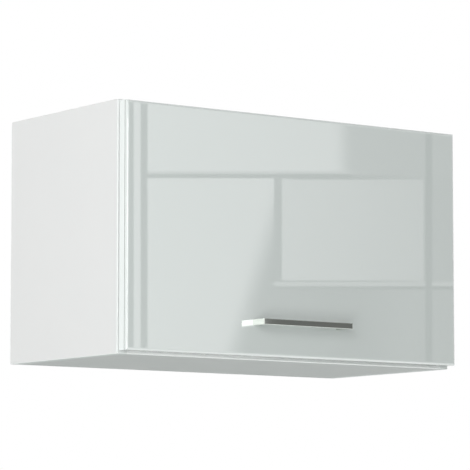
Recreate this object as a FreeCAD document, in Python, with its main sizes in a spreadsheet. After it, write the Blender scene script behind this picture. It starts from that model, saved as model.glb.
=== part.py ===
import FreeCAD, Part
import Sketcher
import math
import os

# Wall-hung range hood cabinet with one lift-up flap.
# X runs to the right, the front faces -Y and +Z is up.
# The origin is the middle of the back, on the wall plane. All sizes are millimetres.

SIZES = {
    # carcass boards
    "cabinet_width": 600,
    "cabinet_height": 360,
    "board_depth": 285,
    "board_thickness": 16,
    "back_thickness": 3,
    "back_inset": 2,
    "band_thickness": 0.8,
    "front_band_thickness": 2,
    "front_band_rounding": 1.5,
    # flap
    "flap_gap": 2.5,
    "flap_thickness": 18,
    "flap_side_reveal": 1.5,
    "flap_top_reveal": 3,
    "flap_bottom_reveal": 4.5,
    "flap_edge_radius": 4,
    "flap_front_lip": 0.5,
    "flap_seam_width": 0.7,
    "flap_seam_depth": 0.5,
    "bumper_radius": 5,
    "bumper_thickness": 2.2,
    "bumper_rise": 14,
    # bow handle
    "handle_length": 160,
    "handle_height": 8.5,
    "handle_projection": 28,
    "handle_bar": 7,
    "handle_leg": 9,
    "handle_rise": 48,
    "handle_rounding": 0.6,
    "handle_screw_radius": 2,
    "handle_screw_grip": 15,
    "handle_head_radius": 4.2,
    "handle_head_height": 2.4,
    # knock-down joints
    "cam_radius": 7.5,
    "cam_depth": 12.5,
    "cam_setback": 24,
    "cam_inset": 40,
    "bolt_radius": 3,
    "bolt_head_radius": 3.4,
    "bolt_head_length": 4,
    "bolt_channel_radius": 3.7,
    "thread_radius": 2.5,
    "thread_length": 11,
    "dowel_radius": 4,
    "dowel_length": 30,
    "dowel_in_side": 10,
    "dowel_spacing": 32,
    "cap_radius": 8.5,
    "cap_thickness": 1.2,
    # back panel nails
    "nail_radius": 0.8,
    "nail_length": 20,
    "nail_head_radius": 2,
    "nail_head_height": 0.8,
    "nail_end_margin": 32,
    # wall hanger plates
    "hanger_size": 56,
    "hanger_leg": 36,
    "hanger_thickness": 2,
    "hanger_edge": 1,
    "hanger_gap": 1,
    "hanger_eye_radius": 5,
    "hanger_eye_inset": 16,
    "hanger_screw_end": 12,
    "hanger_screw_pitch": 22,
    "hanger_screw_radius": 1.9,
    "hanger_screw_length": 22,
    "hanger_head_radius": 4,
    "hanger_head_height": 0.9,
    # concealed hinges
    "hinge_inset": 100,
    "cup_radius": 17.5,
    "cup_depth": 12.5,
    "cup_wall": 0.8,
    "cup_floor": 1,
    "cup_edge_wood": 3,
    "rim_radius": 18.5,
    "rim_thickness": 1,
    "wing_length": 60,
    "wing_width": 13,
    "wing_drop": 9.5,
    "wing_screw_pitch": 45,
    "cup_screw_radius": 1.75,
    "cup_screw_length": 12,
    "cup_head_radius": 3.4,
    "cup_head_height": 1.6,
    "pivot_drop": 6.5,
    "pivot_depth": 9,
    "hinge_pin_radius": 1.2,
    "eye_radius": 2,
    "nose_width": 7,
    "nose_start": 3,
    "arm_width": 16,
    "arm_thickness": 5,
    "rail_height": 4,
    "rail_width": 14,
    "rail_length": 44,
    "rail_setback": 20,
    "plate_line": 37,
    "plate_span": 50,
    "plate_width": 15,
    "plate_rounding": 4,
    "arm_rounding": 1.5,
    "plate_thickness": 2.5,
    "plate_screw_pitch": 32,
    "plate_screw_radius": 2.5,
    "plate_screw_length": 13,
    "plate_head_radius": 4.2,
    "plate_head_height": 2,
    "clamp_screw_radius": 2.4,
    "clamp_pitch": 24,
    "clamp_head_radius": 3.6,
    "clamp_head_height": 1.6,
    # gas struts
    "strut_arm": 150,
    "strut_inset": 16,
    "strut_drop": 14,
    "stud_standoff": 13,
    "stud_radius": 4,
    "stud_shoulder_radius": 5.5,
    "stud_tail": 2.4,
    "clip_radius": 6,
    "clip_thickness": 1,
    "socket_radius": 7,
    "socket_width": 10,
    "socket_neck": 14,
    "socket_neck_radius": 4.8,
    "stem_radius": 3,
    "stem_grip": 5,
    "tube_radius": 7.5,
    "tube_wall": 1.2,
    "tube_plug": 5,
    "tube_rounding": 1,
    "rod_radius": 3,
    "rod_exposed": 10,
    "guide_length": 10,
    "piston_radius": 6,
    "piston_length": 8,
    "piston_stop": 1,
    "bracket_thickness": 2,
    "bracket_length": 44,
    "bracket_width": 17,
    "bracket_rounding": 4,
    "bracket_screw_pitch": 30,
    "bracket_screw_radius": 1.75,
    "bracket_screw_length": 13,
    "bracket_head_radius": 3.4,
    "bracket_head_height": 1.6,
    "lug_thickness": 3,
    "lug_radius": 8,
    "lug_gap": 4,
    # clearances
    "fit": 0.05,
    "running": 0.06,
    "side_play": 0.3,
    "hole_end": 0.4,
}

doc = FreeCAD.newDocument("range_hood_cabinet")
sheet = doc.addObject("Spreadsheet::Sheet", "dims")


class Size:
    """A length that knows both its number and the cell expression it comes from."""

    def __init__(self, text, number):
        self.text = text
        self.number = number

    @staticmethod
    def of(thing):
        if isinstance(thing, Size):
            return thing
        return Size("(%r)" % float(thing), float(thing))

    def join(self, other, sign, number):
        return Size("(%s %s %s)" % (self.text, sign, other.text), number)

    def __add__(self, other):
        other = Size.of(other)
        return self.join(other, "+", self.number + other.number)

    def __sub__(self, other):
        other = Size.of(other)
        return self.join(other, "-", self.number - other.number)

    def __mul__(self, other):
        other = Size.of(other)
        return self.join(other, "*", self.number * other.number)

    def __truediv__(self, other):
        other = Size.of(other)
        return self.join(other, "/", self.number / other.number)

    def __rmul__(self, other):
        return Size.of(other) * self

    def __neg__(self):
        return Size.of(-1) * self


class Sizes:
    pass


dims = Sizes()
for row, (alias, number) in enumerate(SIZES.items(), 1):
    sheet.set("A%d" % row, alias)
    sheet.set("B%d" % row, str(number))
    sheet.setAlias("B%d" % row, alias)
    setattr(dims, alias, Size("dims." + alias, float(number)))
doc.recompute()


def root(size):
    return Size("sqrt(%s)" % size.text, math.sqrt(size.number))


def bind(item, name, size):
    item.setExpression(name, Size.of(size).text)


ZERO = Size.of(0)


# Main planes of the cabinet.
half_width = dims.cabinet_width / 2
half_height = dims.cabinet_height / 2
inner_half = half_width - dims.board_thickness
boards_back = -dims.back_thickness
boards_front = boards_back - dims.board_depth
core_front = boards_front + dims.front_band_thickness
top_underside = half_height - dims.board_thickness
flap_back = boards_front - dims.flap_gap
flap_front = flap_back - dims.flap_thickness
flap_half = half_width - dims.flap_side_reveal
flap_top = half_height - dims.flap_top_reveal
flap_bottom = dims.flap_bottom_reveal - half_height
edge_middle = half_width - dims.board_thickness / 2
board_middle = half_height - dims.board_thickness / 2

# Flap axis, inside the flap close to its top edge.
pivot_y = flap_back - dims.pivot_depth
pivot_z = flap_top - dims.pivot_drop
hinge_x = half_width - dims.hinge_inset
cup_z = flap_top - dims.cup_edge_wood - dims.cup_radius
wing_z = cup_z - dims.wing_drop
pin_rise = pivot_z - cup_z + dims.hinge_pin_radius
pin_half = root(dims.cup_radius * dims.cup_radius - pin_rise * pin_rise) - dims.fit
arm_top = top_underside - dims.rail_height
arm_bottom = arm_top - dims.arm_thickness
plate_y = boards_front + dims.plate_line
rail_front = boards_front + dims.rail_setback
rail_back = rail_front + dims.rail_length

# Strut studs. Both lie strut_arm away from the flap axis, so each strut turns by half of the flap's angle.
flap_stud_y = flap_back + dims.stud_standoff
flap_stud_back = flap_stud_y - pivot_y
flap_stud_z = pivot_z - root(dims.strut_arm * dims.strut_arm - flap_stud_back * flap_stud_back)
side_stud_z = top_underside - dims.strut_drop
side_stud_drop = pivot_z - side_stud_z
side_stud_y = pivot_y + root(dims.strut_arm * dims.strut_arm - side_stud_drop * side_stud_drop)
strut_x = inner_half - dims.strut_inset
socket_inside = strut_x - dims.socket_width / 2
socket_outside = strut_x + dims.socket_width / 2

# Strut length with the flap shut and with the flap turned up by a right angle.
shut_y = side_stud_y - flap_stud_y
shut_z = side_stud_z - flap_stud_z
shut_length = root(shut_y * shut_y + shut_z * shut_z)
open_y = side_stud_y - (pivot_y - (pivot_z - flap_stud_z))
open_z = side_stud_z - (pivot_z - flap_stud_back)
open_length = root(open_y * open_y + open_z * open_z)
tube_end = shut_length - dims.rod_exposed - dims.socket_neck
tube_bore = dims.tube_radius - dims.tube_wall
guide_start = tube_end - dims.guide_length
rod_reach = open_length + dims.piston_length + dims.piston_stop - guide_start

# Rows of joints along the board ends.
cam_front = boards_front + dims.cam_inset
cam_back = boards_back - dims.cam_inset
dowel_front = cam_front + dims.dowel_spacing
dowel_back = cam_back - dims.dowel_spacing
cam_x = inner_half - dims.cam_setback
cam_rows = [cam_front, cam_back]
dowel_rows = [dowel_front, dowel_back]

# Hanger plates in the upper back corners, and nails around the rest of the back panel.
hanger_outside = half_width - dims.hanger_edge
hanger_inside = hanger_outside - dims.hanger_size
hanger_top = half_height - dims.hanger_edge
hanger_bottom = hanger_top - dims.hanger_size
eye_x = inner_half - dims.hanger_eye_inset
eye_z = top_underside - dims.hanger_eye_inset
hanger_low_screw = hanger_bottom + dims.hanger_screw_end
hanger_side_screws = [hanger_low_screw, hanger_low_screw + dims.hanger_screw_pitch]
hanger_top_screw = hanger_inside + dims.hanger_screw_end
nail_low = dims.nail_end_margin - half_height
nail_high = hanger_bottom - dims.nail_end_margin / 2
side_nails = [nail_low, (nail_low + nail_high) / 2, nail_high]
top_nail = hanger_inside - dims.nail_end_margin
top_nails = [-top_nail, ZERO, top_nail]
bottom_nail = inner_half - dims.nail_end_margin
bottom_nails = [-bottom_nail, -bottom_nail / 3, bottom_nail / 3, bottom_nail]

handle_z = flap_bottom + dims.handle_rise
handle_front = flap_front - dims.handle_projection
handle_half = dims.handle_length / 2
handle_screw_x = handle_half - dims.handle_leg / 2
SIDES = [("left", -1), ("right", 1)]


def mirrored(side, size):
    return side * size


def between(side, inner, outer):
    """Lower X of a stretch that runs from inner to outer away from the middle, on one side."""
    if side < 0:
        return -outer
    return inner


def new_body(label):
    body = doc.addObject("PartDesign::Body", label)
    body.Label = label
    return body


def new_sketch(body, role, level):
    planes = [item for item in body.Origin.OriginFeatures if item.Role == role]
    sketch = body.newObject("Sketcher::SketchObject", body.Label + "_sketch")
    sketch.AttachmentSupport = [(planes[0], "")]
    sketch.MapMode = "FlatFace"
    bind(sketch, "AttachmentOffset.Base.z", level)
    return sketch


def hold(sketch, kind, geometry, size):
    constraint = sketch.addConstraint(Sketcher.Constraint(kind, *geometry, size.number))
    bind(sketch, "Constraints[%d]" % constraint, size)


def outline(body, role, level, corners):
    """Closed outline of straight runs, each corner held to its two sizes."""
    sketch = new_sketch(body, role, level)
    points = [FreeCAD.Vector(x.number, y.number, 0) for x, y in corners]
    count = len(points)
    for i in range(count):
        sketch.addGeometry(Part.LineSegment(points[i], points[(i + 1) % count]), False)
    for i in range(count):
        sketch.addConstraint(Sketcher.Constraint("Coincident", i, 2, (i + 1) % count, 1))
    for i, (x, y) in enumerate(corners):
        hold(sketch, "DistanceX", (-1, 1, i, 1), x)
        hold(sketch, "DistanceY", (-1, 1, i, 1), y)
    return sketch


def rectangle(body, role, level, x_low, x_high, y_low, y_high):
    corners = [(x_low, y_low), (x_high, y_low), (x_high, y_high), (x_low, y_high)]
    return outline(body, role, level, corners)


def circles(body, role, level, centres, radius):
    sketch = new_sketch(body, role, level)
    for x, y in centres:
        middle = FreeCAD.Vector(x.number, y.number, 0)
        circle = Part.Circle(middle, FreeCAD.Vector(0, 0, 1), radius.number)
        curve = sketch.addGeometry(circle, False)
        hold(sketch, "Radius", (curve,), radius)
        hold(sketch, "DistanceX", (-1, 1, curve, 3), x)
        hold(sketch, "DistanceY", (-1, 1, curve, 3), y)
    return sketch


def pad(body, sketch, length):
    feature = body.newObject("PartDesign::Pad", body.Label + "_pad")
    feature.Profile = sketch
    bind(feature, "Length", length)
    doc.recompute()
    return feature


def cut(body, sketch, depth, along_normal):
    before = body.Shape.Volume
    feature = body.newObject("PartDesign::Pocket", body.Label + "_cut")
    feature.Profile = sketch
    feature.Reversed = along_normal
    bind(feature, "Length", depth)
    doc.recompute()
    if body.Shape.Volume >= before:
        raise RuntimeError(body.Label + ": a cut removed nothing")
    return feature


def round_edges(body, radius, chosen):
    tip = body.Tip
    names = ["Edge%d" % i for i, edge in enumerate(tip.Shape.Edges, 1) if chosen(edge)]
    if not names:
        raise RuntimeError(body.Label + ": no edge to round")
    feature = body.newObject("PartDesign::Fillet", body.Label + "_rounding")
    feature.Base = (tip, names)
    bind(feature, "Radius", radius)
    doc.recompute()


def all_of(*tests):
    return lambda edge: all(test(edge) for test in tests)


def lies_at(axis, *sizes):
    return lambda edge: all(any(abs(v.Point.dot(axis) - size.number) < 1e-4 for size in sizes)
                            for v in edge.Vertexes)


def runs_along(axis):
    def test(edge):
        if not isinstance(edge.Curve, Part.Line):
            return False
        return abs(abs(edge.Curve.Direction.dot(axis)) - 1) < 1e-6
    return test


def strip(label, x, y, z, length, width, height):
    box = doc.addObject("Part::Box", label)
    box.Label = label
    for name, size in zip(("Length", "Width", "Height"), (length, width, height)):
        bind(box, name, size)
    for name, size in zip("xyz", (x, y, z)):
        bind(box, "Placement.Base." + name, size)
    return box


def turned(profile):
    """Solid turned about Z from (radius, height) points that start and end on the axis."""
    points = [FreeCAD.Vector(radius, 0, height) for radius, height in profile]
    face = Part.Face(Part.makePolygon(points + points[:1]))
    return face.revolve(FreeCAD.Vector(), FreeCAD.Vector(0, 0, 1), 360)


def headed(head_radius, head_height, shank_radius, length):
    """Cross-slotted screw with its head seated at Z 0 and its shank along +Z."""
    r, s = head_radius.number, shank_radius.number
    top, tip = -head_height.number, length.number
    crown = 0.7 * r
    screw = turned([(0, top), (crown, top), (r, top / 2), (r, 0), (s, 0), (s, tip - s), (0, tip)])
    arm, wide, deep = 0.55 * r, 0.12 * r, -0.6 * top
    slot = Part.makeBox(2 * arm, 2 * wide, deep, FreeCAD.Vector(-arm, -wide, top))
    cross = Part.makeBox(2 * wide, 2 * arm, deep, FreeCAD.Vector(-wide, -arm, top))
    return screw.cut(slot.fuse(cross))


def placed(shape, x, y, z, direction):
    copy = shape.copy()
    place = FreeCAD.Vector(*(Size.of(size).number for size in (x, y, z)))
    turn = FreeCAD.Rotation(FreeCAD.Vector(0, 0, 1), direction)
    copy.Placement = FreeCAD.Placement(place, turn).multiply(shape.Placement)
    return copy


def group(label, solids):
    feature = doc.addObject("Part::Feature", label)
    feature.Label = label
    feature.Shape = Part.makeCompound(solids)
    return feature


TO_RIGHT = FreeCAD.Vector(1, 0, 0)
TO_WALL = FreeCAD.Vector(0, 1, 0)
TO_FRONT = FreeCAD.Vector(0, -1, 0)
UP = FreeCAD.Vector(0, 0, 1)


def outward(side):
    return FreeCAD.Vector(side, 0, 0)


# Carcass boards.
def bracket_screw_places():
    reach = dims.bracket_screw_pitch / 2
    return [(side_stud_y - reach, side_stud_z), (side_stud_y + reach, side_stud_z)]


def nail_bores(body, centres):
    sketch = circles(body, "XZ_Plane", -boards_back, centres, dims.nail_radius + dims.fit)
    cut(body, sketch, dims.nail_length - dims.back_thickness + dims.hole_end, True)


def hanger_bores(body, centres):
    sketch = circles(body, "XZ_Plane", -boards_back, centres, dims.hanger_screw_radius + dims.fit)
    cut(body, sketch, dims.hanger_screw_length - dims.hanger_thickness + dims.hole_end, True)


def side_panel(name, side):
    body = new_body(name + "_side_panel")
    level = between(side, inner_half, half_width)
    bottom = dims.band_thickness - half_height
    pad(body, rectangle(body, "YZ_Plane", level, core_front, boards_back, bottom, half_height),
        dims.board_thickness)
    inner = mirrored(side, inner_half)
    ends = [-board_middle, board_middle]
    threads = [(y, z) for y in cam_rows for z in ends]
    cut(body, circles(body, "YZ_Plane", inner, threads, dims.thread_radius + dims.fit),
        dims.thread_length + dims.hole_end, side > 0)
    dowels = [(y, z) for y in dowel_rows for z in ends]
    cut(body, circles(body, "YZ_Plane", inner, dowels, dims.dowel_radius + dims.fit),
        dims.dowel_in_side + dims.hole_end, side > 0)
    cut(body, circles(body, "YZ_Plane", inner, bracket_screw_places(), dims.bracket_screw_radius + dims.fit),
        dims.bracket_screw_length - dims.bracket_thickness + dims.hole_end, side > 0)
    middle = mirrored(side, edge_middle)
    nail_bores(body, [(middle, z) for z in side_nails])
    hanger_bores(body, [(middle, z) for z in hanger_side_screws])


def end_bores(body, z):
    for _, side in SIDES:
        end = mirrored(side, inner_half)
        channels = [(y, z) for y in cam_rows]
        cut(body, circles(body, "YZ_Plane", end, channels, dims.bolt_channel_radius),
            dims.cam_setback, side < 0)
        dowels = [(y, z) for y in dowel_rows]
        cut(body, circles(body, "YZ_Plane", end, dowels, dims.dowel_radius + dims.fit),
            dims.dowel_length - dims.dowel_in_side + dims.hole_end, side < 0)


def cam_places():
    return [(mirrored(side, cam_x), y) for _, side in SIDES for y in cam_rows]


def flat_panel(label, low, cam_face):
    body = new_body(label)
    pad(body, rectangle(body, "XY_Plane", low, -inner_half, inner_half, core_front, boards_back),
        dims.board_thickness)
    cut(body, circles(body, "XY_Plane", cam_face, cam_places(), dims.cam_radius + dims.fit),
        dims.cam_depth, False)
    end_bores(body, low + dims.board_thickness / 2)
    return body


def plate_screw_places():
    reach = dims.plate_screw_pitch / 2
    places = []
    for _, side in SIDES:
        middle = mirrored(side, hinge_x)
        places += [(middle - reach, plate_y), (middle + reach, plate_y)]
    return places


def top_panel():
    body = flat_panel("top_panel", top_underside, half_height)
    cut(body, circles(body, "XY_Plane", top_underside, plate_screw_places(),
                      dims.plate_screw_radius + dims.fit),
        dims.plate_screw_length - dims.plate_thickness + dims.hole_end, True)
    nail_bores(body, [(x, board_middle) for x in top_nails])
    hanger_bores(body, [(mirrored(side, hanger_top_screw), board_middle) for _, side in SIDES])


def bottom_panel():
    body = flat_panel("bottom_panel", -half_height, -top_underside)
    nail_bores(body, [(x, -board_middle) for x in bottom_nails])


def nail_places():
    places = [(mirrored(side, edge_middle), z) for _, side in SIDES for z in side_nails]
    places += [(x, board_middle) for x in top_nails]
    places += [(x, -board_middle) for x in bottom_nails]
    return places


def back_panel():
    body = new_body("back_panel")
    wide = half_width - dims.back_inset
    tall = half_height - dims.back_inset
    notch_x = hanger_inside - dims.hanger_gap
    notch_z = hanger_bottom - dims.hanger_gap
    corners = [(-wide, -tall), (wide, -tall), (wide, notch_z), (notch_x, notch_z), (notch_x, tall),
               (-notch_x, tall), (-notch_x, notch_z), (-wide, notch_z)]
    pad(body, outline(body, "XZ_Plane", ZERO, corners), dims.back_thickness)
    cut(body, circles(body, "XZ_Plane", ZERO, nail_places(), dims.nail_radius + dims.fit),
        dims.back_thickness, True)
    cut(body, circles(body, "XZ_Plane", ZERO, nail_places(), dims.nail_head_radius + dims.fit),
        dims.nail_head_height, True)


def front_band(label, x_low, x_high, z_low, z_high, rounded):
    body = new_body(label)
    pad(body, rectangle(body, "XZ_Plane", -core_front, x_low, x_high, z_low, z_high),
        dims.front_band_thickness)
    round_edges(body, dims.front_band_rounding, rounded)


def edge_bands():
    depth = boards_back - core_front
    all_round = lies_at(TO_WALL, boards_front)
    long_edges = all_of(all_round, runs_along(TO_RIGHT))
    for name, side in SIDES:
        x = between(side, inner_half, half_width)
        front_band(name + "_front_edge_band", x, x + dims.board_thickness,
                   -half_height, half_height, all_round)
        strip(name + "_bottom_edge_band", x, core_front, -half_height,
              dims.board_thickness, depth, dims.band_thickness)
    for name, z in (("top", top_underside), ("bottom", -half_height)):
        front_band(name + "_front_edge_band", -inner_half, inner_half,
                   z, z + dims.board_thickness, long_edges)


# Knock-down joints.
def cam_lock():
    """Cam housing seen from its open face at Z 0, with the bolt channel towards +X."""
    radius = dims.cam_radius.number
    depth = dims.cam_depth.number
    axis_depth = dims.board_thickness.number / 2
    channel = dims.bolt_channel_radius.number
    reach = dims.bolt_head_length.number
    housing = Part.makeCylinder(radius, depth, FreeCAD.Vector(0, 0, -depth))
    start = FreeCAD.Vector(-reach, 0, -axis_depth)
    bore = Part.makeCylinder(channel, reach + radius, start, TO_RIGHT)
    slot_corner = FreeCAD.Vector(-radius / 2, -radius / 12, -radius / 4)
    slot = Part.makeBox(radius, radius / 6, radius / 4, slot_corner)
    cross = slot.copy()
    cross.rotate(FreeCAD.Vector(), UP, 90)
    return housing.cut(bore).cut(slot).cut(cross)


def cam_bolt():
    """Cam bolt along +Z, with Z 0 on the inner face of the side panel."""
    head = dims.bolt_head_radius.number
    shank = dims.bolt_radius.number
    thread = dims.thread_radius.number
    tip = -dims.thread_length.number
    head_end = dims.cam_setback.number + dims.bolt_head_length.number / 2
    neck = head_end - dims.bolt_head_length.number
    waist = 0.6 * shank
    return turned([(0, tip), (thread, tip), (thread, 0), (shank, 0), (shank, neck - shank),
                   (waist, neck - shank), (waist, neck), (head, neck), (head, head_end), (0, head_end)])


def joint_pieces():
    cam, bolt = cam_lock(), cam_bolt()
    turned_cam = cam.copy()
    turned_cam.rotate(FreeCAD.Vector(), UP, 180)
    length = dims.dowel_length.number
    nose = dims.dowel_radius.number / 4
    radius = dims.dowel_radius.number
    dowel = turned([(0, 0), (radius - nose, 0), (radius, nose), (radius, length - nose),
                    (radius - nose, length), (0, length)])
    edge, thick = dims.cap_radius.number, dims.cap_thickness.number
    cap = turned([(0, 0), (edge, 0), (edge, thick / 2), (edge - thick / 2, thick), (0, thick)])
    cams, bolts, dowels, caps = [], [], [], []
    for _, side in SIDES:
        housing = cam if side > 0 else turned_cam
        x = mirrored(side, cam_x)
        for y in cam_rows:
            cams.append(placed(housing, x, y, half_height, UP))
            cams.append(placed(housing, x, y, -top_underside, UP))
            caps.append(placed(cap, x, y, -top_underside, UP))
            for z in (board_middle, -board_middle):
                bolts.append(placed(bolt, mirrored(side, inner_half), y, z, outward(-side)))
        for y in dowel_rows:
            for z in (board_middle, -board_middle):
                start = mirrored(side, inner_half + dims.dowel_in_side)
                dowels.append(placed(dowel, start, y, z, outward(-side)))
    group("cam_locks", cams)
    group("cam_bolts", bolts)
    group("wood_dowels", dowels)
    group("cam_cover_caps", caps)


def back_panel_nails():
    head, shank = dims.nail_head_radius.number, dims.nail_radius.number
    flush, tip = dims.nail_head_height.number, dims.nail_length.number
    nail = turned([(0, 0), (head, 0), (head, flush), (shank, flush), (shank, tip - 2 * shank), (0, tip)])
    group("back_panel_nails", [placed(nail, x, 0, z, TO_FRONT) for x, z in nail_places()])


# Wall hangers.
def hanger_screw_places(side):
    places = [(mirrored(side, edge_middle), z) for z in hanger_side_screws]
    return places + [(mirrored(side, hanger_top_screw), board_middle)]


def hanger_plate(name, side):
    body = new_body(name + "_hanger_plate")
    face = dims.back_thickness - dims.hanger_thickness
    corners = [(hanger_outside, hanger_top), (hanger_inside, hanger_top),
               (hanger_inside, hanger_top - dims.hanger_leg),
               (hanger_outside - dims.hanger_leg, hanger_bottom), (hanger_outside, hanger_bottom)]
    corners = [(mirrored(side, x), z) for x, z in corners]
    pad(body, outline(body, "XZ_Plane", face, corners), dims.hanger_thickness)
    round_edges(body, dims.bracket_rounding, runs_along(TO_WALL))
    cut(body, circles(body, "XZ_Plane", face, [(mirrored(side, eye_x), eye_z)], dims.hanger_eye_radius),
        dims.hanger_thickness, True)
    cut(body, circles(body, "XZ_Plane", face, hanger_screw_places(side), dims.hanger_screw_radius + dims.fit),
        dims.hanger_thickness, True)


def hanger_screws():
    screw = headed(dims.hanger_head_radius, dims.hanger_head_height, dims.hanger_screw_radius,
                   dims.hanger_screw_length)
    seat = boards_back + dims.hanger_thickness
    group("hanger_screws", [placed(screw, x, seat, z, TO_FRONT)
                            for _, side in SIDES for x, z in hanger_screw_places(side)])


# Concealed hinges: base and arm on the carcass, cup and pin in the flap.
def clamp_places(side):
    x = mirrored(side, hinge_x)
    middle = (rail_front + rail_back) / 2
    return [(x, middle - dims.clamp_pitch / 2), (x, middle + dims.clamp_pitch / 2)]


def hinge_base(name, side):
    body = new_body(name + "_hinge_base")
    x = mirrored(side, hinge_x)
    pad(body, rectangle(body, "XY_Plane", arm_top, x - dims.rail_width / 2, x + dims.rail_width / 2,
                        rail_front, rail_back), dims.rail_height)
    wing = top_underside - dims.plate_thickness
    pad(body, rectangle(body, "XY_Plane", wing, x - dims.plate_span / 2, x + dims.plate_span / 2,
                        plate_y - dims.plate_width / 2, plate_y + dims.plate_width / 2), dims.plate_thickness)
    ends = lies_at(TO_RIGHT, x - dims.plate_span / 2, x + dims.plate_span / 2)
    round_edges(body, dims.plate_rounding, all_of(runs_along(UP), ends))
    reach = dims.plate_screw_pitch / 2
    cut(body, circles(body, "XY_Plane", wing, [(x - reach, plate_y), (x + reach, plate_y)],
                      dims.plate_screw_radius + dims.fit), dims.plate_thickness, True)
    cut(body, circles(body, "XY_Plane", arm_top, clamp_places(side), dims.clamp_screw_radius + dims.fit),
        dims.rail_height, True)


def hinge_arm(name, side):
    body = new_body(name + "_hinge_arm")
    x = mirrored(side, hinge_x)
    nose_back = boards_front + dims.nose_start
    neck_front = pivot_y - dims.eye_radius
    neck_back = pivot_y + dims.eye_radius
    pad(body, rectangle(body, "YZ_Plane", x - dims.arm_width / 2, nose_back, rail_back, arm_bottom, arm_top),
        dims.arm_width)
    nose = [(nose_back, arm_bottom), (nose_back, arm_top), (neck_back, arm_top), (neck_back, pivot_z),
            (neck_front, pivot_z), (neck_front, arm_bottom)]
    level = x - dims.nose_width / 2
    pad(body, outline(body, "YZ_Plane", level, nose), dims.nose_width)
    axis = [(pivot_y, pivot_z)]
    pad(body, circles(body, "YZ_Plane", level, axis, dims.eye_radius), dims.nose_width)
    round_edges(body, dims.arm_rounding, all_of(runs_along(TO_WALL), lies_at(UP, arm_bottom)))
    cut(body, circles(body, "YZ_Plane", level, axis, dims.hinge_pin_radius + dims.running),
        dims.nose_width, True)
    cut(body, circles(body, "XY_Plane", arm_bottom, clamp_places(side), dims.clamp_screw_radius + dims.fit),
        dims.arm_thickness, True)


def cup_screw_places(side):
    x = mirrored(side, hinge_x)
    reach = dims.wing_screw_pitch / 2
    return [(x - reach, wing_z), (x + reach, wing_z)]


def hinge_cup(name, side):
    body = new_body(name + "_hinge_cup")
    x = mirrored(side, hinge_x)
    middle = [(x, cup_z)]
    rim = -flap_back - dims.rim_thickness
    pad(body, circles(body, "XZ_Plane", -flap_back, middle, dims.cup_radius), dims.cup_depth)
    pad(body, circles(body, "XZ_Plane", rim, middle, dims.rim_radius), dims.rim_thickness)
    half = dims.wing_length / 2
    wing = rectangle(body, "XZ_Plane", rim, x - half, x + half, wing_z - dims.wing_width / 2,
                     wing_z + dims.wing_width / 2)
    pad(body, wing, dims.rim_thickness)
    round_edges(body, dims.plate_rounding, all_of(runs_along(TO_WALL), lies_at(TO_RIGHT, x - half, x + half)))
    cut(body, circles(body, "XZ_Plane", rim, middle, dims.cup_radius - dims.cup_wall),
        dims.rim_thickness + dims.cup_depth - dims.cup_floor, True)
    cut(body, circles(body, "XZ_Plane", rim, cup_screw_places(side), dims.cup_screw_radius + dims.fit),
        dims.rim_thickness, True)
    cut(body, circles(body, "YZ_Plane", x - dims.cup_radius, [(pivot_y, pivot_z)],
                      dims.hinge_pin_radius + dims.fit), 2 * dims.cup_radius, True)


def hinge_pin(name, side):
    pin = doc.addObject("Part::Cylinder", name + "_hinge_pin")
    pin.Label = name + "_hinge_pin"
    bind(pin, "Radius", dims.hinge_pin_radius)
    bind(pin, "Height", 2 * pin_half)
    pin.Placement = FreeCAD.Placement(FreeCAD.Vector(), FreeCAD.Rotation(UP, TO_RIGHT))
    start = mirrored(side, hinge_x) - pin_half
    for axis, size in zip("xyz", (start, pivot_y, pivot_z)):
        bind(pin, "Placement.Base." + axis, size)


def hinge_screws():
    base_screw = headed(dims.plate_head_radius, dims.plate_head_height, dims.plate_screw_radius,
                        dims.plate_screw_length)
    seat = top_underside - dims.plate_thickness
    group("hinge_base_screws", [placed(base_screw, x, y, seat, UP) for x, y in plate_screw_places()])
    clamp = headed(dims.clamp_head_radius, dims.clamp_head_height, dims.clamp_screw_radius,
                   dims.arm_thickness + dims.rail_height - dims.side_play)
    group("hinge_arm_screws", [placed(clamp, x, y, arm_bottom, UP)
                               for _, side in SIDES for x, y in clamp_places(side)])
    cup_screw = headed(dims.cup_head_radius, dims.cup_head_height, dims.cup_screw_radius,
                       dims.cup_screw_length)
    face = flap_back + dims.rim_thickness
    group("hinge_cup_screws", [placed(cup_screw, x, face, z, TO_FRONT)
                               for _, side in SIDES for x, z in cup_screw_places(side)])


# Flap and handle.
def flap_screw_places(side):
    x = mirrored(side, socket_inside - dims.lug_gap - dims.lug_thickness - dims.bracket_width / 2)
    reach = dims.bracket_screw_pitch / 2
    return [(x, flap_stud_z - reach), (x, flap_stud_z + reach)]


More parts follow.
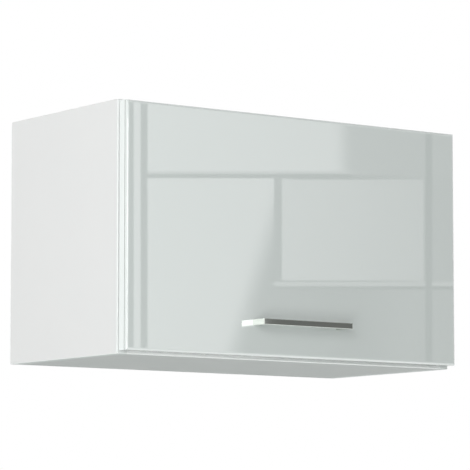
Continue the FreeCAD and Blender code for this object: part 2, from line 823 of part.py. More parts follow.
def flap_panel():
    body = new_body("flap_panel")
    # edged board behind, a fine seam all round, and the wrapped front with its rounded edges
    wrap = dims.flap_edge_radius + dims.flap_front_lip
    edge = dims.flap_thickness - wrap - dims.flap_seam_width
    pad(body, rectangle(body, "XZ_Plane", -flap_back, -flap_half, flap_half, flap_bottom, flap_top), edge)
    inset = flap_half - dims.flap_seam_depth
    pad(body, rectangle(body, "XZ_Plane", edge - flap_back, -inset, inset, flap_bottom + dims.flap_seam_depth,
                        flap_top - dims.flap_seam_depth), dims.flap_seam_width)
    pad(body, rectangle(body, "XZ_Plane", -wrap - flap_front, -flap_half, flap_half,
                        flap_bottom, flap_top), wrap)
    round_edges(body, dims.flap_edge_radius, lies_at(TO_WALL, flap_front))
    cups = [(mirrored(side, hinge_x), cup_z) for _, side in SIDES]
    cut(body, circles(body, "XZ_Plane", -flap_back, cups, dims.cup_radius + dims.fit), dims.cup_depth, True)
    cup_screws = [place for _, side in SIDES for place in cup_screw_places(side)]
    cut(body, circles(body, "XZ_Plane", -flap_back, cup_screws, dims.cup_screw_radius + dims.fit),
        dims.cup_screw_length - dims.rim_thickness + dims.hole_end, True)
    bracket_screws = [place for _, side in SIDES for place in flap_screw_places(side)]
    cut(body, circles(body, "XZ_Plane", -flap_back, bracket_screws, dims.bracket_screw_radius + dims.fit),
        dims.bracket_screw_length - dims.bracket_thickness + dims.hole_end, True)
    handle_holes = [(mirrored(side, handle_screw_x), handle_z) for _, side in SIDES]
    cut(body, circles(body, "XZ_Plane", -flap_back, handle_holes, dims.handle_screw_radius + dims.fit),
        dims.flap_thickness, True)


def handle():
    body = new_body("handle")
    bar_back = handle_front + dims.handle_bar
    leg = handle_half - dims.handle_leg
    corners = [(-handle_half, flap_front), (-handle_half, handle_front), (handle_half, handle_front),
               (handle_half, flap_front), (leg, flap_front), (leg, bar_back), (-leg, bar_back),
               (-leg, flap_front)]
    low = handle_z - dims.handle_height / 2
    pad(body, outline(body, "XY_Plane", low, corners), dims.handle_height)
    round_edges(body, dims.handle_rounding, lies_at(TO_WALL, handle_front))
    places = [(mirrored(side, handle_screw_x), handle_z) for _, side in SIDES]
    cut(body, circles(body, "XZ_Plane", -flap_front, places, dims.handle_screw_radius + dims.fit),
        dims.handle_screw_grip + dims.hole_end, True)


def flap_fittings():
    screw = headed(dims.handle_head_radius, dims.handle_head_height, dims.handle_screw_radius,
                   dims.flap_thickness + dims.handle_screw_grip)
    group("handle_screws", [placed(screw, mirrored(side, handle_screw_x), flap_back, handle_z, TO_FRONT)
                            for _, side in SIDES])
    radius, height = dims.bumper_radius.number, dims.bumper_thickness.number
    bumper = turned([(0, 0), (radius, 0), (0.8 * radius, height), (0, height)])
    low = flap_bottom + dims.bumper_rise
    group("flap_bumpers", [placed(bumper, mirrored(side, edge_middle), flap_back, low, TO_WALL)
                           for _, side in SIDES])


# Gas struts.
def strut_side_bracket(name, side):
    body = new_body(name + "_strut_side_bracket")
    face = inner_half - dims.bracket_thickness
    reach = dims.bracket_length / 2
    half = dims.bracket_width / 2
    pad(body, rectangle(body, "YZ_Plane", between(side, face, inner_half), side_stud_y - reach,
                        side_stud_y + reach, side_stud_z - half, side_stud_z + half), dims.bracket_thickness)
    round_edges(body, dims.bracket_rounding, runs_along(TO_RIGHT))
    axis = [(side_stud_y, side_stud_z)]
    shoulder = socket_outside + dims.side_play
    pad(body, circles(body, "YZ_Plane", between(side, shoulder, face), axis, dims.stud_shoulder_radius),
        face - shoulder)
    tail = socket_inside - dims.stud_tail
    pad(body, circles(body, "YZ_Plane", between(side, tail, face), axis, dims.stud_radius), face - tail)
    cut(body, circles(body, "YZ_Plane", mirrored(side, face), bracket_screw_places(),
                      dims.bracket_screw_radius + dims.fit), dims.bracket_thickness, side > 0)


def strut_flap_bracket(name, side):
    body = new_body(name + "_strut_flap_bracket")
    lug_outside = socket_inside - dims.lug_gap
    lug_inside = lug_outside - dims.lug_thickness
    base_inside = lug_inside - dims.bracket_width
    reach = dims.bracket_length / 2
    x_low = between(side, base_inside, lug_outside)
    pad(body, rectangle(body, "XZ_Plane", -flap_back - dims.bracket_thickness, x_low,
                        x_low + (lug_outside - base_inside), flap_stud_z - reach, flap_stud_z + reach),
        dims.bracket_thickness)
    level = between(side, lug_inside, lug_outside)
    pad(body, rectangle(body, "YZ_Plane", level, flap_back, flap_stud_y, flap_stud_z - dims.lug_radius,
                        flap_stud_z + dims.lug_radius), dims.lug_thickness)
    axis = [(flap_stud_y, flap_stud_z)]
    pad(body, circles(body, "YZ_Plane", level, axis, dims.lug_radius), dims.lug_thickness)
    shoulder = socket_inside - dims.side_play
    pad(body, circles(body, "YZ_Plane", between(side, lug_outside, shoulder), axis,
                      dims.stud_shoulder_radius), shoulder - lug_outside)
    tail = socket_outside + dims.stud_tail
    pad(body, circles(body, "YZ_Plane", between(side, lug_outside, tail), axis, dims.stud_radius),
        tail - lug_outside)
    cut(body, circles(body, "XZ_Plane", -flap_back - dims.bracket_thickness, flap_screw_places(side),
                      dims.bracket_screw_radius + dims.fit), dims.bracket_thickness, True)


def strut_fasteners():
    screw = headed(dims.bracket_head_radius, dims.bracket_head_height, dims.bracket_screw_radius,
                   dims.bracket_screw_length)
    face = inner_half - dims.bracket_thickness
    group("strut_side_screws", [placed(screw, mirrored(side, face), y, z, outward(side))
                                for _, side in SIDES for y, z in bracket_screw_places()])
    seat = flap_back + dims.bracket_thickness
    group("strut_flap_screws", [placed(screw, x, seat, z, TO_FRONT)
                                for _, side in SIDES for x, z in flap_screw_places(side)])
    inside = dims.stud_radius.number + dims.fit.number
    outside, thick = dims.clip_radius.number, dims.clip_thickness.number
    clip = turned([(inside, 0), (outside, 0), (outside, thick), (inside, thick)])
    side_clip = socket_inside - dims.side_play
    flap_clip = socket_outside + dims.side_play
    group("strut_side_clips", [placed(clip, mirrored(side, side_clip), side_stud_y, side_stud_z,
                                      outward(-side)) for _, side in SIDES])
    group("strut_flap_clips", [placed(clip, mirrored(side, flap_clip), flap_stud_y, flap_stud_z,
                                      outward(side)) for _, side in SIDES])


def along_strut(side, from_flap):
    """Placement whose Z runs along the strut, from one stud towards the other."""
    lean = math.degrees(math.atan2(shut_y.number, -shut_z.number))
    y, z = side_stud_y.number, side_stud_z.number
    if from_flap:
        lean += 180
        y, z = flap_stud_y.number, flap_stud_z.number
    place = FreeCAD.Vector(side * strut_x.number, y, z)
    return FreeCAD.Placement(place, FreeCAD.Rotation(FreeCAD.Vector(1, 0, 0), lean))


def round_bar(body, start, length, radius):
    pad(body, circles(body, "XY_Plane", start, [(ZERO, ZERO)], radius), length)


def round_bore(body, start, length, radius):
    cut(body, circles(body, "XY_Plane", start, [(ZERO, ZERO)], radius), length, True)


def socket(label, side, from_flap):
    body = new_body(label)
    axis = [(ZERO, ZERO)]
    level = -dims.socket_width / 2
    pad(body, circles(body, "YZ_Plane", level, axis, dims.socket_radius), dims.socket_width)
    round_bar(body, ZERO, dims.socket_neck, dims.socket_neck_radius)
    cut(body, circles(body, "YZ_Plane", level, axis, dims.stud_radius + dims.running),
        dims.socket_width, True)
    round_bore(body, dims.socket_neck - dims.stem_grip, dims.stem_grip, dims.stem_radius + dims.fit)
    body.Placement = along_strut(side, from_flap)


def strut(name, side):
    tube = new_body(name + "_strut_cylinder")
    length = tube_end - dims.socket_neck
    round_bar(tube, dims.socket_neck, length, dims.tube_radius)
    mouth = tube_end.number
    rear = dims.socket_neck.number
    round_edges(tube, dims.tube_rounding,
                lambda edge: all(abs(v.Point.z - mouth) < 1e-4 or abs(v.Point.z - rear) < 1e-4
                                 for v in edge.Vertexes) and isinstance(edge.Curve, Part.Circle))
    round_bar(tube, dims.socket_neck - dims.stem_grip, dims.stem_grip, dims.stem_radius)
    round_bore(tube, dims.socket_neck + dims.tube_plug, length - dims.tube_plug, tube_bore)
    tube.Placement = along_strut(side, False)
    guide = new_body(name + "_rod_guide")
    round_bar(guide, guide_start, dims.guide_length - dims.tube_rounding, tube_bore - dims.fit)
    round_bore(guide, guide_start, dims.guide_length, dims.rod_radius + dims.running)
    guide.Placement = along_strut(side, False)
    rod = new_body(name + "_strut_rod")
    rod_start = dims.socket_neck - dims.stem_grip
    round_bar(rod, rod_start, rod_reach - rod_start, dims.rod_radius)
    rod.Placement = along_strut(side, True)
    piston = new_body(name + "_piston")
    round_bar(piston, rod_reach - dims.piston_length, dims.piston_length, dims.piston_radius)
    round_bore(piston, rod_reach - dims.piston_length, dims.piston_length, dims.rod_radius + dims.fit)
    piston.Placement = along_strut(side, True)
    socket(name + "_cylinder_socket", side, False)
    socket(name + "_rod_socket", side, True)


for name, side in SIDES:
    side_panel(name, side)
    hanger_plate(name, side)
    hinge_base(name, side)
    hinge_arm(name, side)
    hinge_cup(name, side)
    hinge_pin(name, side)
    strut_side_bracket(name, side)
    strut_flap_bracket(name, side)
    strut(name, side)
top_panel()
bottom_panel()
back_panel()
edge_bands()
joint_pieces()
back_panel_nails()
hanger_screws()
hinge_screws()
flap_panel()
handle()
flap_fittings()
strut_fasteners()
doc.recompute()

for item in doc.Objects:
    if "Invalid" in item.State or "Error" in item.State:
        raise RuntimeError(item.Label + " failed to build")

piece_types = ("PartDesign::Body", "Part::Box", "Part::Cylinder", "Part::Feature")
pieces = [item for item in doc.Objects if item.TypeId in piece_types]
for piece in pieces:
    if piece.Shape.isNull() or not piece.Shape.isValid() or not piece.Shape.Solids:
        raise RuntimeError(piece.Label + " has no valid solid")

os.makedirs("parts", exist_ok=True)
for piece in pieces:
    piece.Shape.exportStep("parts/" + piece.Label + ".step")
print(len(pieces), "pieces")
print("flap axis y %.3f z %.3f" % (pivot_y.number, pivot_z.number))
print("side stud y %.3f z %.3f" % (side_stud_y.number, side_stud_z.number))
print("flap stud y %.3f z %.3f" % (flap_stud_y.number, flap_stud_z.number))
print("strut shut %.2f open %.2f" % (shut_length.number, open_length.number))
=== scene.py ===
import math
import bpy
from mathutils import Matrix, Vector


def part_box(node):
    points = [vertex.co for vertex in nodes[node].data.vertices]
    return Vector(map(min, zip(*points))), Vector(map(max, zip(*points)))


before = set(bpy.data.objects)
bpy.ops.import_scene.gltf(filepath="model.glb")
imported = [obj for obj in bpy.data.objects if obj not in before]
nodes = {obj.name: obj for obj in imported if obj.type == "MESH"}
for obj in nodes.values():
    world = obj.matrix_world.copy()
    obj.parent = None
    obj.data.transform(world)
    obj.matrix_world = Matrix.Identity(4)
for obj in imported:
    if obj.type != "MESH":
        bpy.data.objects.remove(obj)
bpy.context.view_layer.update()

scene = bpy.context.scene
scene.view_settings.view_transform = "Standard"
print("frame loaded,", len(nodes), "pieces")


class Wire:  # one socket, so that shader maths reads as plain sums
    def __init__(self, tree, socket):
        self.tree = tree
        self.socket = socket

    def sums(self, operation, *values):
        return self.tree.node("ShaderNodeMath", {"operation": operation}, dict(enumerate(values)))

    def __add__(self, other):
        return self.sums("ADD", self, other)

    def __radd__(self, other):
        return self.sums("ADD", other, self)

    def __sub__(self, other):
        return self.sums("SUBTRACT", self, other)

    def __rsub__(self, other):
        return self.sums("SUBTRACT", other, self)

    def __mul__(self, other):
        return self.sums("MULTIPLY", self, other)

    def __rmul__(self, other):
        return self.sums("MULTIPLY", other, self)

    def __gt__(self, other):
        return self.sums("GREATER_THAN", self, other)

    def __or__(self, other):  # the larger of the two
        return self.sums("MAXIMUM", self, other)


class Tree:  # the nodes of one finish
    def __init__(self, owner):
        owner.use_nodes = True
        self.nodes = owner.node_tree.nodes
        self.links = owner.node_tree.links
        self.nodes.clear()

    def node(self, kind, settings=None, values=None, output=0):
        made = self.nodes.new(kind)
        for name, value in (settings or {}).items():
            setattr(made, name, value)
        for name, value in (values or {}).items():
            if isinstance(value, Wire):
                self.links.new(value.socket, made.inputs[name])
            else:
                made.inputs[name].default_value = value
        return Wire(self, made.outputs[output]) if made.outputs else None

    def along(self, vector, axis):  # one axis of a place or a direction
        return self.node("ShaderNodeSeparateXYZ", values={0: vector}, output=axis)

    def place(self):
        return self.node("ShaderNodeTexCoord", output="Object")

    def facing(self, axis):  # how squarely the surface looks along one of the piece's own axes
        return self.along(self.node("ShaderNodeTexCoord", output="Normal"), axis)

    def noise(self, size, detail, stretch=(1, 1, 1)):  # size in metres, a small stretch draws it out
        scaled = self.node("ShaderNodeVectorMath", {"operation": "MULTIPLY"}, {0: self.place(), 1: stretch})
        return self.node("ShaderNodeTexNoise", values={"Vector": scaled, "Scale": 1 / size, "Detail": detail})

    def tint(self, amount, low, high):  # sockets 6 and 7 and output 2 are the colour ones
        return self.node("ShaderNodeMix", {"data_type": "RGBA"}, {0: amount, 6: low, 7: high}, output=2)

    def ramp(self, value, start, end, low=0.0):  # eases from low to one between start and end
        return self.node("ShaderNodeMapRange", {"interpolation_type": "SMOOTHSTEP"},
                         {"Value": value, "From Min": start, "From Max": end, "To Min": low})

    def bump(self, height, depth):
        return self.node("ShaderNodeBump", values={"Height": height, "Distance": depth, "Strength": 1.0})

    def emission(self, tone, strength=1.0):
        return self.node("ShaderNodeEmission", values={"Color": tone, "Strength": strength})

    def surface(self, shader):
        self.node("ShaderNodeOutputMaterial", values={"Surface": shader})

    def principled(self, **values):
        return self.node("ShaderNodeBsdfPrincipled",
                         values={name.replace("_", " "): value for name, value in values.items()})


def colour(r, g, b):
    return (r, g, b, 1.0)


def newFinish(name):
    material = bpy.data.materials.new(name)
    return material, Tree(material)


def dress(names, material):
    for name in names:
        slots = nodes[name].data.materials
        slots.clear()
        slots.append(material)


def bothSides(*names):
    return [side + name for name in names for side in ("left_", "right_")]


plainWhite = colour(1, 1, 1)
squareOn = 0.5  # above this a surface counts as facing along the axis

# In the looks below, a pattern is its size in metres, its detail and, where it is drawn out, its stretch

# Matt white board: a fine pearl grain, and bare chipboard on the edges that have no edging
boardLook = {
    "white": colour(0.80, 0.80, 0.795),
    "whiteLow": colour(0.775, 0.777, 0.775),
    "chip": colour(0.60, 0.45, 0.29),
    "chipLow": colour(0.36, 0.24, 0.13),
    "cloud": (0.09, 3),
    "grain": (0.0011, 1),
    "grainDepth": 0.00003,
    "flake": (0.0022, 2, (1, 0.35, 1)),
    "flakeRelief": 3,  # times the grain's depth
    "roughness": 0.46,
    "cloudRoughness": 0.10,
    "bareRoughness": 0.3,
}


def boardFinish(name, bareTop=False, bareEnds=False):
    material, tree = newFinish(name)
    bare = tree.facing("Y") > squareOn  # the rear edge under the back panel
    if bareTop:
        bare = bare | (tree.facing("Z") > squareOn)
    if bareEnds:
        across = tree.facing("X")
        bare = bare | (across * across > squareOn)
    cloud = tree.noise(*boardLook["cloud"])
    grain = tree.noise(*boardLook["grain"])
    flakes = tree.noise(*boardLook["flake"])
    white = tree.tint(cloud, boardLook["whiteLow"], boardLook["white"])
    chips = tree.tint(flakes, boardLook["chipLow"], boardLook["chip"])
    height = grain + flakes * bare * boardLook["flakeRelief"]
    rough = boardLook["roughness"] + boardLook["cloudRoughness"] * cloud + boardLook["bareRoughness"] * bare
    tree.surface(tree.principled(
        Base_Color=tree.tint(bare, white, chips),
        Roughness=rough,
        Normal=tree.bump(height, boardLook["grainDepth"])))
    return material


dress(["left_side_panel", "right_side_panel"], boardFinish("whiteSideBoard", bareTop=True))
dress(["top_panel", "bottom_panel"], boardFinish("whiteFlatBoard", bareEnds=True))
print("boards finished")

# Edging: smooth and a touch brighter than the boards, with shiny rounded edges. Along the sill it is whiter
# still, which is painted light for the shaded strip under the flap
edgingLook = {
    "streak": (0.004, 2, (1, 1, 0.04)),
    "grain": (0.0006, 1),
    "grainDepth": 0.00001,
    "roughness": 0.34,
    "streakRoughness": 0.08,
    "coatRoughness": 0.12,
    "kinds": {
        "whiteFrontEdging": {
            "white": colour(0.83, 0.86, 0.85),
            "low": colour(0.80, 0.83, 0.82),
            "coat": 0.8,
            "coatIor": 2.0,
        },
        # painted light: whiter than the other edging, to brighten the shaded strip under the flap
        "sillEdgingPaintedLight": {
            "white": colour(0.92, 0.94, 0.93),
            "low": colour(0.89, 0.91, 0.90),
            "coat": 1.0,
            "coatIor": 2.6,
        },
        "whiteLowerEdging": {
            "white": colour(0.83, 0.86, 0.85),
            "low": colour(0.80, 0.83, 0.82),
            "coat": 0.0,
            "coatIor": 2.0,
        },
    },
}


def edgingFinish(name):
    material, tree = newFinish(name)
    kind = edgingLook["kinds"][name]
    streak = tree.noise(*edgingLook["streak"])
    grain = tree.noise(*edgingLook["grain"])
    tree.surface(tree.principled(
        Base_Color=tree.tint(streak, kind["low"], kind["white"]),
        Roughness=edgingLook["roughness"] + edgingLook["streakRoughness"] * streak,
        Coat_Weight=kind["coat"],
        Coat_Roughness=edgingLook["coatRoughness"],
        Coat_IOR=kind["coatIor"],
        Normal=tree.bump(grain, edgingLook["grainDepth"])))
    return material


dress(bothSides("front_edge_band") + ["top_front_edge_band"], edgingFinish("whiteFrontEdging"))
# the sill's edging carries painted light in its whiter colour
dress(["bottom_front_edge_band"], edgingFinish("sillEdgingPaintedLight"))
dress(bothSides("bottom_edge_band"), edgingFinish("whiteLowerEdging"))

# Back panel: brown hardboard behind, white lacquer inside
backLook = {
    "brown": colour(0.40, 0.27, 0.15),
    "brownLow": colour(0.27, 0.17, 0.09),
    "white": colour(0.78, 0.78, 0.775),
    "fibre": (0.0014, 3),
    "fibreShare": 0.5,  # of the brown's shading, the clouds give the rest
    "fibreDepth": 0.00008,
    "cloud": (0.05, 3),
    "roughness": 0.62,
    "fibreRoughness": 0.1,
    "lacquerShine": 0.2,  # taken off the roughness inside
}


def backFinish():
    material, tree = newFinish("hardboardBack")
    inside = 0 - tree.facing("Y") > squareOn
    fibre = tree.noise(*backLook["fibre"])
    cloud = tree.noise(*backLook["cloud"])
    shading = backLook["fibreShare"] * fibre + (1 - backLook["fibreShare"]) * cloud
    brown = tree.tint(shading, backLook["brownLow"], backLook["brown"])
    rough = backLook["roughness"] - backLook["lacquerShine"] * inside + backLook["fibreRoughness"] * fibre
    tree.surface(tree.principled(
        Base_Color=tree.tint(inside, brown, backLook["white"]),
        Roughness=rough,
        Normal=tree.bump(fibre * (1 - inside), backLook["fibreDepth"])))
    return material


dress(["back_panel"], backFinish())
print("edging and back finished")

# Flap: deep white gloss on the front and edges, a fine seam round the edges painted near black as shade, matt
# white behind
glossLook = {
    "white": colour(0.75, 0.80, 0.782),
    "whiteLow": colour(0.735, 0.785, 0.767),
    "behind": colour(0.80, 0.80, 0.795),
    # painted shade: the seam's near-black colour stands in for the shadow along it
    "seam": colour(0.13, 0.13, 0.12),
    "seamFrom": 0.0044,  # behind the front face
    "seamTo": 0.0053,
    "cloud": (0.12, 2),
    "ripple": (0.012, 2),
    "rippleShare": 0.25,  # of the depth of the grain behind
    "grainDepth": 0.00003,
    "roughness": 0.30,
    "behindRoughness": 0.2,  # added behind
    "coatRoughness": 0.015,
    "coatIor": 2.3,
}


def glossFinish():
    material, tree = newFinish("whiteGlossFront")
    behind = tree.facing("Y") > squareOn
    cloud = tree.noise(*glossLook["cloud"])
    ripple = tree.noise(*glossLook["ripple"])
    grain = tree.noise(*boardLook["grain"])
    depth = tree.along(tree.place(), "Y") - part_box("flap_panel")[0].y
    # the band of the seam, where shade is painted and the coat is left off
    seam = (depth > glossLook["seamFrom"]) * (glossLook["seamTo"] - depth > 0)
    gloss = tree.tint(seam, tree.tint(cloud, glossLook["whiteLow"], glossLook["white"]), glossLook["seam"])
    height = glossLook["rippleShare"] * ripple * (1 - behind) + grain * behind
    tree.surface(tree.principled(
        Base_Color=tree.tint(behind, gloss, glossLook["behind"]),
        Roughness=glossLook["roughness"] + glossLook["behindRoughness"] * behind,
        Coat_Weight=1 - (behind | seam),
        Coat_Roughness=glossLook["coatRoughness"],
        Coat_IOR=glossLook["coatIor"],
        Normal=tree.bump(height, glossLook["grainDepth"])))
    return material


dress(["flap_panel"], glossFinish())
print("flap finished")

# Polished metal: faint cloudy wipe marks in the shine
chromeLook = {
    "bright": colour(0.565, 0.595, 0.555),
    "low": colour(0.515, 0.545, 0.51),
    "wipe": (0.02, 3, (0.2, 1, 1)),
    "wipeRoughness": 0.04,
    "handleRoughness": 0.03,
    "rodRoughness": 0.10,
}


def chromeFinish(name, roughness):
    material, tree = newFinish(name)
    wipe = tree.noise(*chromeLook["wipe"])
    tree.surface(tree.principled(
        Base_Color=tree.tint(wipe, chromeLook["low"], chromeLook["bright"]),
        Metallic=1.0,
        Roughness=roughness + chromeLook["wipeRoughness"] * wipe))
    return material


dress(["handle"], chromeFinish("handleChrome", chromeLook["handleRoughness"]))
dress(bothSides("strut_rod"), chromeFinish("rodChrome", chromeLook["rodRoughness"]))

# Plated steel and castings: spangled plating over fine specks
platedLook = {
    "speck": (0.0009, 2),
    "speckDepth": 0.00001,
    "patchRoughness": 0.16,
    "kinds": {
        "castZinc": {
            "bright": colour(0.52, 0.53, 0.54),
            "low": colour(0.40, 0.41, 0.43),
            "roughness": 0.45,
            "spangle": (0.004, 3),
        },
        "zincPlate": {
            "bright": colour(0.66, 0.67, 0.70),
            "low": colour(0.52, 0.54, 0.57),
            "roughness": 0.28,
            "spangle": (0.006, 3),
        },
        "nickelPlate": {
            "bright": colour(0.70, 0.69, 0.66),
            "low": colour(0.60, 0.59, 0.57),
            "roughness": 0.20,
            "spangle": (0.010, 3),
        },
        "springSteel": {
            "bright": colour(0.34, 0.34, 0.35),
            "low": colour(0.24, 0.24, 0.26),
            "roughness": 0.35,
            "spangle": (0.003, 3),
        },
    },
}


def platedFinish(name):
    material, tree = newFinish(name)
    kind = platedLook["kinds"][name]
    patch = tree.noise(*kind["spangle"])
    speck = tree.noise(*platedLook["speck"])
    tree.surface(tree.principled(
        Base_Color=tree.tint(patch, kind["low"], kind["bright"]),
        Metallic=1.0,
        Roughness=kind["roughness"] + platedLook["patchRoughness"] * patch,
        Normal=tree.bump(speck, platedLook["speckDepth"])))
    return material


screws = ["hanger_screws", "hinge_base_screws", "hinge_cup_screws", "hinge_arm_screws", "handle_screws",
          "strut_side_screws", "strut_flap_screws"]
hinges = bothSides("hinge_base", "hinge_arm", "hinge_cup", "hinge_pin")
dress(["cam_locks"], platedFinish("castZinc"))
dress(screws + ["cam_bolts", "back_panel_nails"] + bothSides("hanger_plate"), platedFinish("zincPlate"))
dress(hinges + bothSides("strut_side_bracket", "strut_flap_bracket"), platedFinish("nickelPlate"))
dress(["strut_side_clips", "strut_flap_clips"], platedFinish("springSteel"))
print("metal finished")

# Black paint of the strut cylinders, with a slight orange peel
paintLook = {
    "black": colour(0.024, 0.024, 0.025),
    "low": colour(0.014, 0.014, 0.015),
    "peel": (0.0016, 2),
    "peelDepth": 0.00002,
    "scuff": (0.012, 4),
    "roughness": 0.28,
    "scuffRoughness": 0.14,
    "coat": 0.3,
}


def paintFinish():
    material, tree = newFinish("blackStrutPaint")
    peel = tree.noise(*paintLook["peel"])
    scuff = tree.noise(*paintLook["scuff"])
    tree.surface(tree.principled(
        Base_Color=tree.tint(scuff, paintLook["low"], paintLook["black"]),
        Roughness=paintLook["roughness"] + paintLook["scuffRoughness"] * scuff,
        Coat_Weight=paintLook["coat"],
        Normal=tree.bump(peel, paintLook["peelDepth"])))
    return material


dress(bothSides("strut_cylinder"), paintFinish())

# Moulded plastics: a fine spark-eroded texture
mouldedLook = {
    "spark": (0.0005, 1),
    "sparkDepth": 0.00002,
    "sparkRoughness": 0.10,
    "cloud": (0.008, 2),
    "kinds": {
        "blackMoulding": {
            "base": colour(0.035, 0.035, 0.036),
            "low": colour(0.025, 0.025, 0.026),
            "roughness": 0.45,
        },
        "guideMoulding": {
            "base": colour(0.16, 0.16, 0.17),
            "low": colour(0.11, 0.11, 0.12),
            "roughness": 0.40,
        },
        "whiteMoulding": {
            "base": colour(0.82, 0.82, 0.815),
            "low": colour(0.79, 0.79, 0.785),
            "roughness": 0.36,
        },
        "softBumper": {
            "base": colour(0.74, 0.75, 0.74),
            "low": colour(0.66, 0.67, 0.66),
            "roughness": 0.30,
        },
    },
}


def mouldedFinish(name):
    material, tree = newFinish(name)
    kind = mouldedLook["kinds"][name]
    spark = tree.noise(*mouldedLook["spark"])
    cloud = tree.noise(*mouldedLook["cloud"])
    tree.surface(tree.principled(
        Base_Color=tree.tint(cloud, kind["low"], kind["base"]),
        Roughness=kind["roughness"] + mouldedLook["sparkRoughness"] * spark,
        Normal=tree.bump(spark, mouldedLook["sparkDepth"])))
    return material


dress(bothSides("cylinder_socket", "rod_socket"), mouldedFinish("blackMoulding"))
dress(bothSides("rod_guide", "piston"), mouldedFinish("guideMoulding"))
dress(["cam_cover_caps"], mouldedFinish("whiteMoulding"))
dress(["flap_bumpers"], mouldedFinish("softBumper"))

# Beech dowels, with the grain along them
dowelLook = {
    "pale": colour(0.62, 0.44, 0.26),
    "dark": colour(0.42, 0.26, 0.13),
    "grain": (0.003, 4, (0.08, 1, 1)),
    "grainDepth": 0.00004,
    "roughness": 0.55,
    "grainRoughness": 0.15,
}


def dowelFinish():
    material, tree = newFinish("beechDowel")
    grain = tree.noise(*dowelLook["grain"])
    tree.surface(tree.principled(
        Base_Color=tree.tint(grain, dowelLook["dark"], dowelLook["pale"]),
        Roughness=dowelLook["roughness"] + dowelLook["grainRoughness"] * grain,
        Normal=tree.bump(grain, dowelLook["grainDepth"])))
    return material


dress(["wood_dowels"], dowelFinish())
print("plastics and dowels finished")

# Camera at the photograph's angle
cameraView = {
    "azimuth": -35.773,
    "elevation": -6.215,
    "distance": 4.4271,
    "target": Vector((0.00608, -0.145, 0.01863)),
    "focalPixels": 2946.3,
    "framePixels": 470,
    "sensor": 36,
    "seesTo": 60,
}


def setCamera():
    a = math.radians(cameraView["azimuth"])
    e = math.radians(cameraView["elevation"])
    back = Vector((math.sin(a) * math.cos(e), -math.cos(a) * math.cos(e), math.sin(e)))
    data = bpy.data.cameras.new("photoCamera")
    data.sensor_width = cameraView["sensor"]
    data.lens = cameraView["focalPixels"] * cameraView["sensor"] / cameraView["framePixels"]
    data.clip_end = cameraView["seesTo"]
    camera = bpy.data.objects.new("photoCamera", data)
    camera.location = cameraView["target"] + back * cameraView["distance"]
    camera.rotation_euler = back.to_track_quat("Z", "Y").to_euler()
    scene.collection.objects.link(camera)
    scene.camera = camera


setCamera()
print("camera set")

# Studio: white all round, soft lamps, and a pale floor far below the hung cabinet
studio = {
    "ambient": 0.30,
    "floorDrop": 7.0,
    "floorSize": 56,
    "floorColour": colour(0.70, 0.80, 0.755),
    "floorRoughness": 0.8,
    "floorGlow": 0.8,  # share of plain white in what the camera sees of it
    "floorFade": (11.0, 27.0),  # how far out the floor starts and ends its fade to white
    "lampSize": (2.2, 2.2),
    "lamps": {
        "leftLamp": {"at": (-3.4, -0.35, 0.6), "power": 20.8},
        "frontLamp": {"at": (-3.2, -3.4, -0.35), "power": 148, "size": (2.4, 4.8)},
        "rightLamp": {"at": (3.6, 0.3, 0.6), "power": 54},
        "rearLamp": {"at": (-0.8, 3.6, 0.8), "power": 38},
        "topLamp": {"at": (0.0, 0.4, 3.4), "power": 62},
    },
}


def addLamp(name, look):
    data = bpy.data.lights.new(name, "AREA")
    data.shape = "RECTANGLE"
    data.size, data.size_y = look.get("size", studio["lampSize"])
    data.energy = look["power"]
    lamp = bpy.data.objects.new(name, data)
    lamp.location = look["at"]
    lamp.rotation_euler = Vector(look["at"]).to_track_quat("Z", "Y").to_euler()  # faces the cabinet
    lamp.visible_glossy = False  # the cards below do the mirroring
    scene.collection.objects.link(lamp)


def rayMask(tree):  # one where the backdrop is seen, straight or by way of metal or glass
    seen, mirrored, passed = (tree.node("ShaderNodeLightPath", output="Is %s Ray" % kind)
                              for kind in ("Camera", "Glossy", "Transmission"))
    return seen | mirrored | passed


def setWorld():
    scene.world = bpy.data.worlds.new("studio")
    tree = Tree(scene.world)
    ambient, white = (tree.node("ShaderNodeBackground", values={"Color": plainWhite, "Strength": strength})
                      for strength in (studio["ambient"], 1.0))
    mixed = tree.node("ShaderNodeMixShader", values={0: rayMask(tree), 1: ambient, 2: white})
    tree.node("ShaderNodeOutputWorld", values={"Surface": mixed})


def stageQuad(name, corners, material):
    mesh = bpy.data.meshes.new(name)
    mesh.from_pydata(corners, [], [(0, 1, 2, 3)])
    mesh.materials.append(material)
    quad = bpy.data.objects.new(name, mesh)
    scene.collection.objects.link(quad)
    return quad


def addFloor():
    half = studio["floorSize"] / 2
    z = -studio["floorDrop"]
    material, tree = newFinish("paleFloor")
    matt = tree.principled(Base_Color=studio["floorColour"], Roughness=studio["floorRoughness"])
    pale = tree.emission(plainWhite)
    reach = tree.node("ShaderNodeVectorMath", {"operation": "LENGTH"}, {0: tree.place()}, output="Value")
    glow = tree.ramp(reach, *studio["floorFade"], studio["floorGlow"])
    tree.surface(tree.node("ShaderNodeMixShader", values={0: rayMask(tree) * glow, 1: matt, 2: pale}))
    stageQuad("floor", [(-half, -half, z), (half, -half, z), (half, half, z), (-half, half, z)], material)


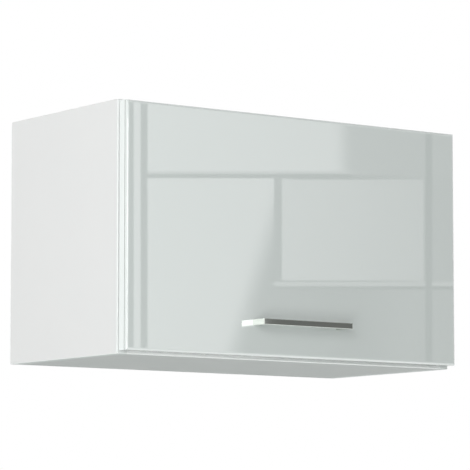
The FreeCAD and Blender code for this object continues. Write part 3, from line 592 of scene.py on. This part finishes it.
# Cards that only shiny surfaces see. The front card stands where the gloss front mirrors it to the camera,
# and the flags are soft dark strips before the cabinet, for contrast in the metal. A field or a bar gives how
# far it reaches across and up its card in metres and how it glows. A field also fades from one glow to the
# other: where that starts and ends along its low edge, and how far it leans. The other cards are plain
cards = {
    "front": {
        "away": 2.4,  # how far behind the gloss front it seems to stand
        "step": 0.004,  # each next field or bar stands this much nearer
        "fields": [
            {"across": (-0.40, 0.66), "up": (-0.54, 0.139),
             "glow": (1.15, 0.23), "fade": (-0.125, -0.055), "lean": 0.31},
            {"across": (0.25, 0.66), "up": (-0.54, 0.139), "glow": (0.23, 0.42), "fade": (0.27, 0.42)},
            {"across": (-0.40, 0.66), "up": (0.139, 0.50), "glow": (1.17, 0.46), "fade": (0.225, 0.275)},
            {"across": (0.108, 0.436), "up": (-0.105, 0.128), "glow": (0.90, 0.76), "fade": (0.12, 0.43)},
            {"across": (0.05, 0.66), "up": (-1.00, -0.54), "glow": (1.0, 0.35), "fade": (0.10, 0.22)},
        ],
        "bars": [
            {"across": (-0.250, -0.234), "up": (-0.54, 0.50), "glow": 0.20},
            {"across": (-0.218, -0.202), "up": (-0.54, 0.50), "glow": 0.16},
            {"across": (-0.202, 0.268), "up": (0.131, 0.141), "glow": 0.15},
            {"across": (-0.202, 0.268), "up": (0.141, 0.147), "glow": 0.75},
            {"across": (0.090, 0.108), "up": (-0.110, 0.131), "glow": 0.22},
            {"across": (0.090, 0.66), "up": (-0.126, -0.118), "glow": 0.12},
            {"across": (0.090, 0.66), "up": (-0.118, -0.108), "glow": 0.70},
            {"across": (0.438, 0.454), "up": (-0.54, 0.50), "glow": 0.14},
        ],
    },
    "flag": {
        "at": -5.0,  # the plane that they stand in
        "fields": [
            {"across": (-0.9, 0.9), "up": (-2.5, 3.5),
             "glow": (1.0, 0.25), "fade": (-0.65, -0.05), "lean": 0.16},
            {"across": (0.9, 2.0), "up": (-2.5, 3.5), "glow": (0.25, 1.0), "fade": (1.0, 1.9)},
            {"across": (-2.7, -1.7), "up": (-2.5, 3.5), "glow": (1.0, 0.45), "fade": (-2.65, -1.75)},
            {"across": (-1.7, -0.9), "up": (-2.5, 3.5), "glow": (0.45, 1.0), "fade": (-1.65, -0.95)},
        ],
    },
    "plain": {
        "sparkCard": {  # lights the handle's end
            "corners": [(-2.69, -3.52, -0.05), (-2.21, -3.88, -0.05),
                        (-2.21, -3.88, 0.75), (-2.69, -3.52, 0.75)],
            "glow": 6.2,
        },
        "behindCard": {  # lights the flap's left edge
            "corners": [(-5.0, 3.4, -0.8), (-0.6, 3.4, -0.8), (-0.6, 3.4, 2.2), (-5.0, 3.4, 2.2)],
            "glow": 1.35,
        },
        "overCard": {  # draws the dim line along the flap's top edge
            "corners": [(-1.0, -3.5, 2.6), (4.5, -3.5, 2.6), (4.5, 2.5, 2.6), (-1.0, 2.5, 2.6)],
            "glow": 0.40,
        },
        "underCard": {  # draws the bright line along the flap's lower edge
            "corners": [(0.5, -1.6, -1.4), (1.6, -1.6, -1.4), (1.6, 0.4, -1.4), (0.5, 0.4, -1.4)],
            "glow": 1.7,
        },
    },
}


def fadeGlow(name, look):
    material, tree = newFinish(name)
    left, right = look["across"]
    low, high = look["up"]
    start, end = ((edge - left) / (right - left) for edge in look["fade"])
    lean = look.get("lean", 0.0) * (high - low) / (right - left)
    near, far = (colour(glow, glow, glow) for glow in look["glow"])
    spot = tree.node("ShaderNodeUVMap")
    fade = tree.ramp(tree.along(spot, "X") - lean * tree.along(spot, "Y"), start, end)
    tree.surface(tree.emission(tree.tint(fade, near, far)))
    return material


def plainGlow(name, look):
    material, tree = newFinish(name)
    tree.surface(tree.emission(plainWhite, look["glow"]))
    return material


def addCard(name, corners, look):
    card = stageQuad(name, corners, fadeGlow(name, look) if "fade" in look else plainGlow(name, look))
    layer = card.data.uv_layers.new(name="spots")
    for i, spot in enumerate(((0, 0), (1, 0), (1, 1), (0, 1))):
        layer.data[i].uv = spot
    card.visible_camera = False
    card.visible_diffuse = False
    card.visible_shadow = False
    card.visible_transmission = False


def cornerSpots(look):
    left, right = look["across"]
    low, high = look["up"]
    return ((left, low), (right, low), (right, high), (left, high))


def addFrontCard(look):
    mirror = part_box("flap_panel")[0].y  # the plane of the gloss front
    right, up, back = (scene.camera.matrix_basis.to_3x3().col[i] for i in range(3))
    for i, piece in enumerate(look["fields"] + look["bars"]):
        reach = cameraView["distance"] + look["away"] - look["step"] * i
        middle = scene.camera.location - back * reach
        seen = [middle + right * u + up * v for u, v in cornerSpots(piece)]
        addCard("frontCard%d" % i, [(point.x, 2 * mirror - point.y, point.z) for point in seen], piece)


def addFlags(look):
    for i, piece in enumerate(look["fields"]):
        addCard("flag%d" % i, [(x, look["at"], z) for x, z in cornerSpots(piece)], piece)


setWorld()
addFloor()
addFlags(cards["flag"])
for name, look in studio["lamps"].items():
    addLamp(name, look)
addFrontCard(cards["front"])
for name, look in cards["plain"].items():
    addCard(name, look["corners"], look)
print("studio set")
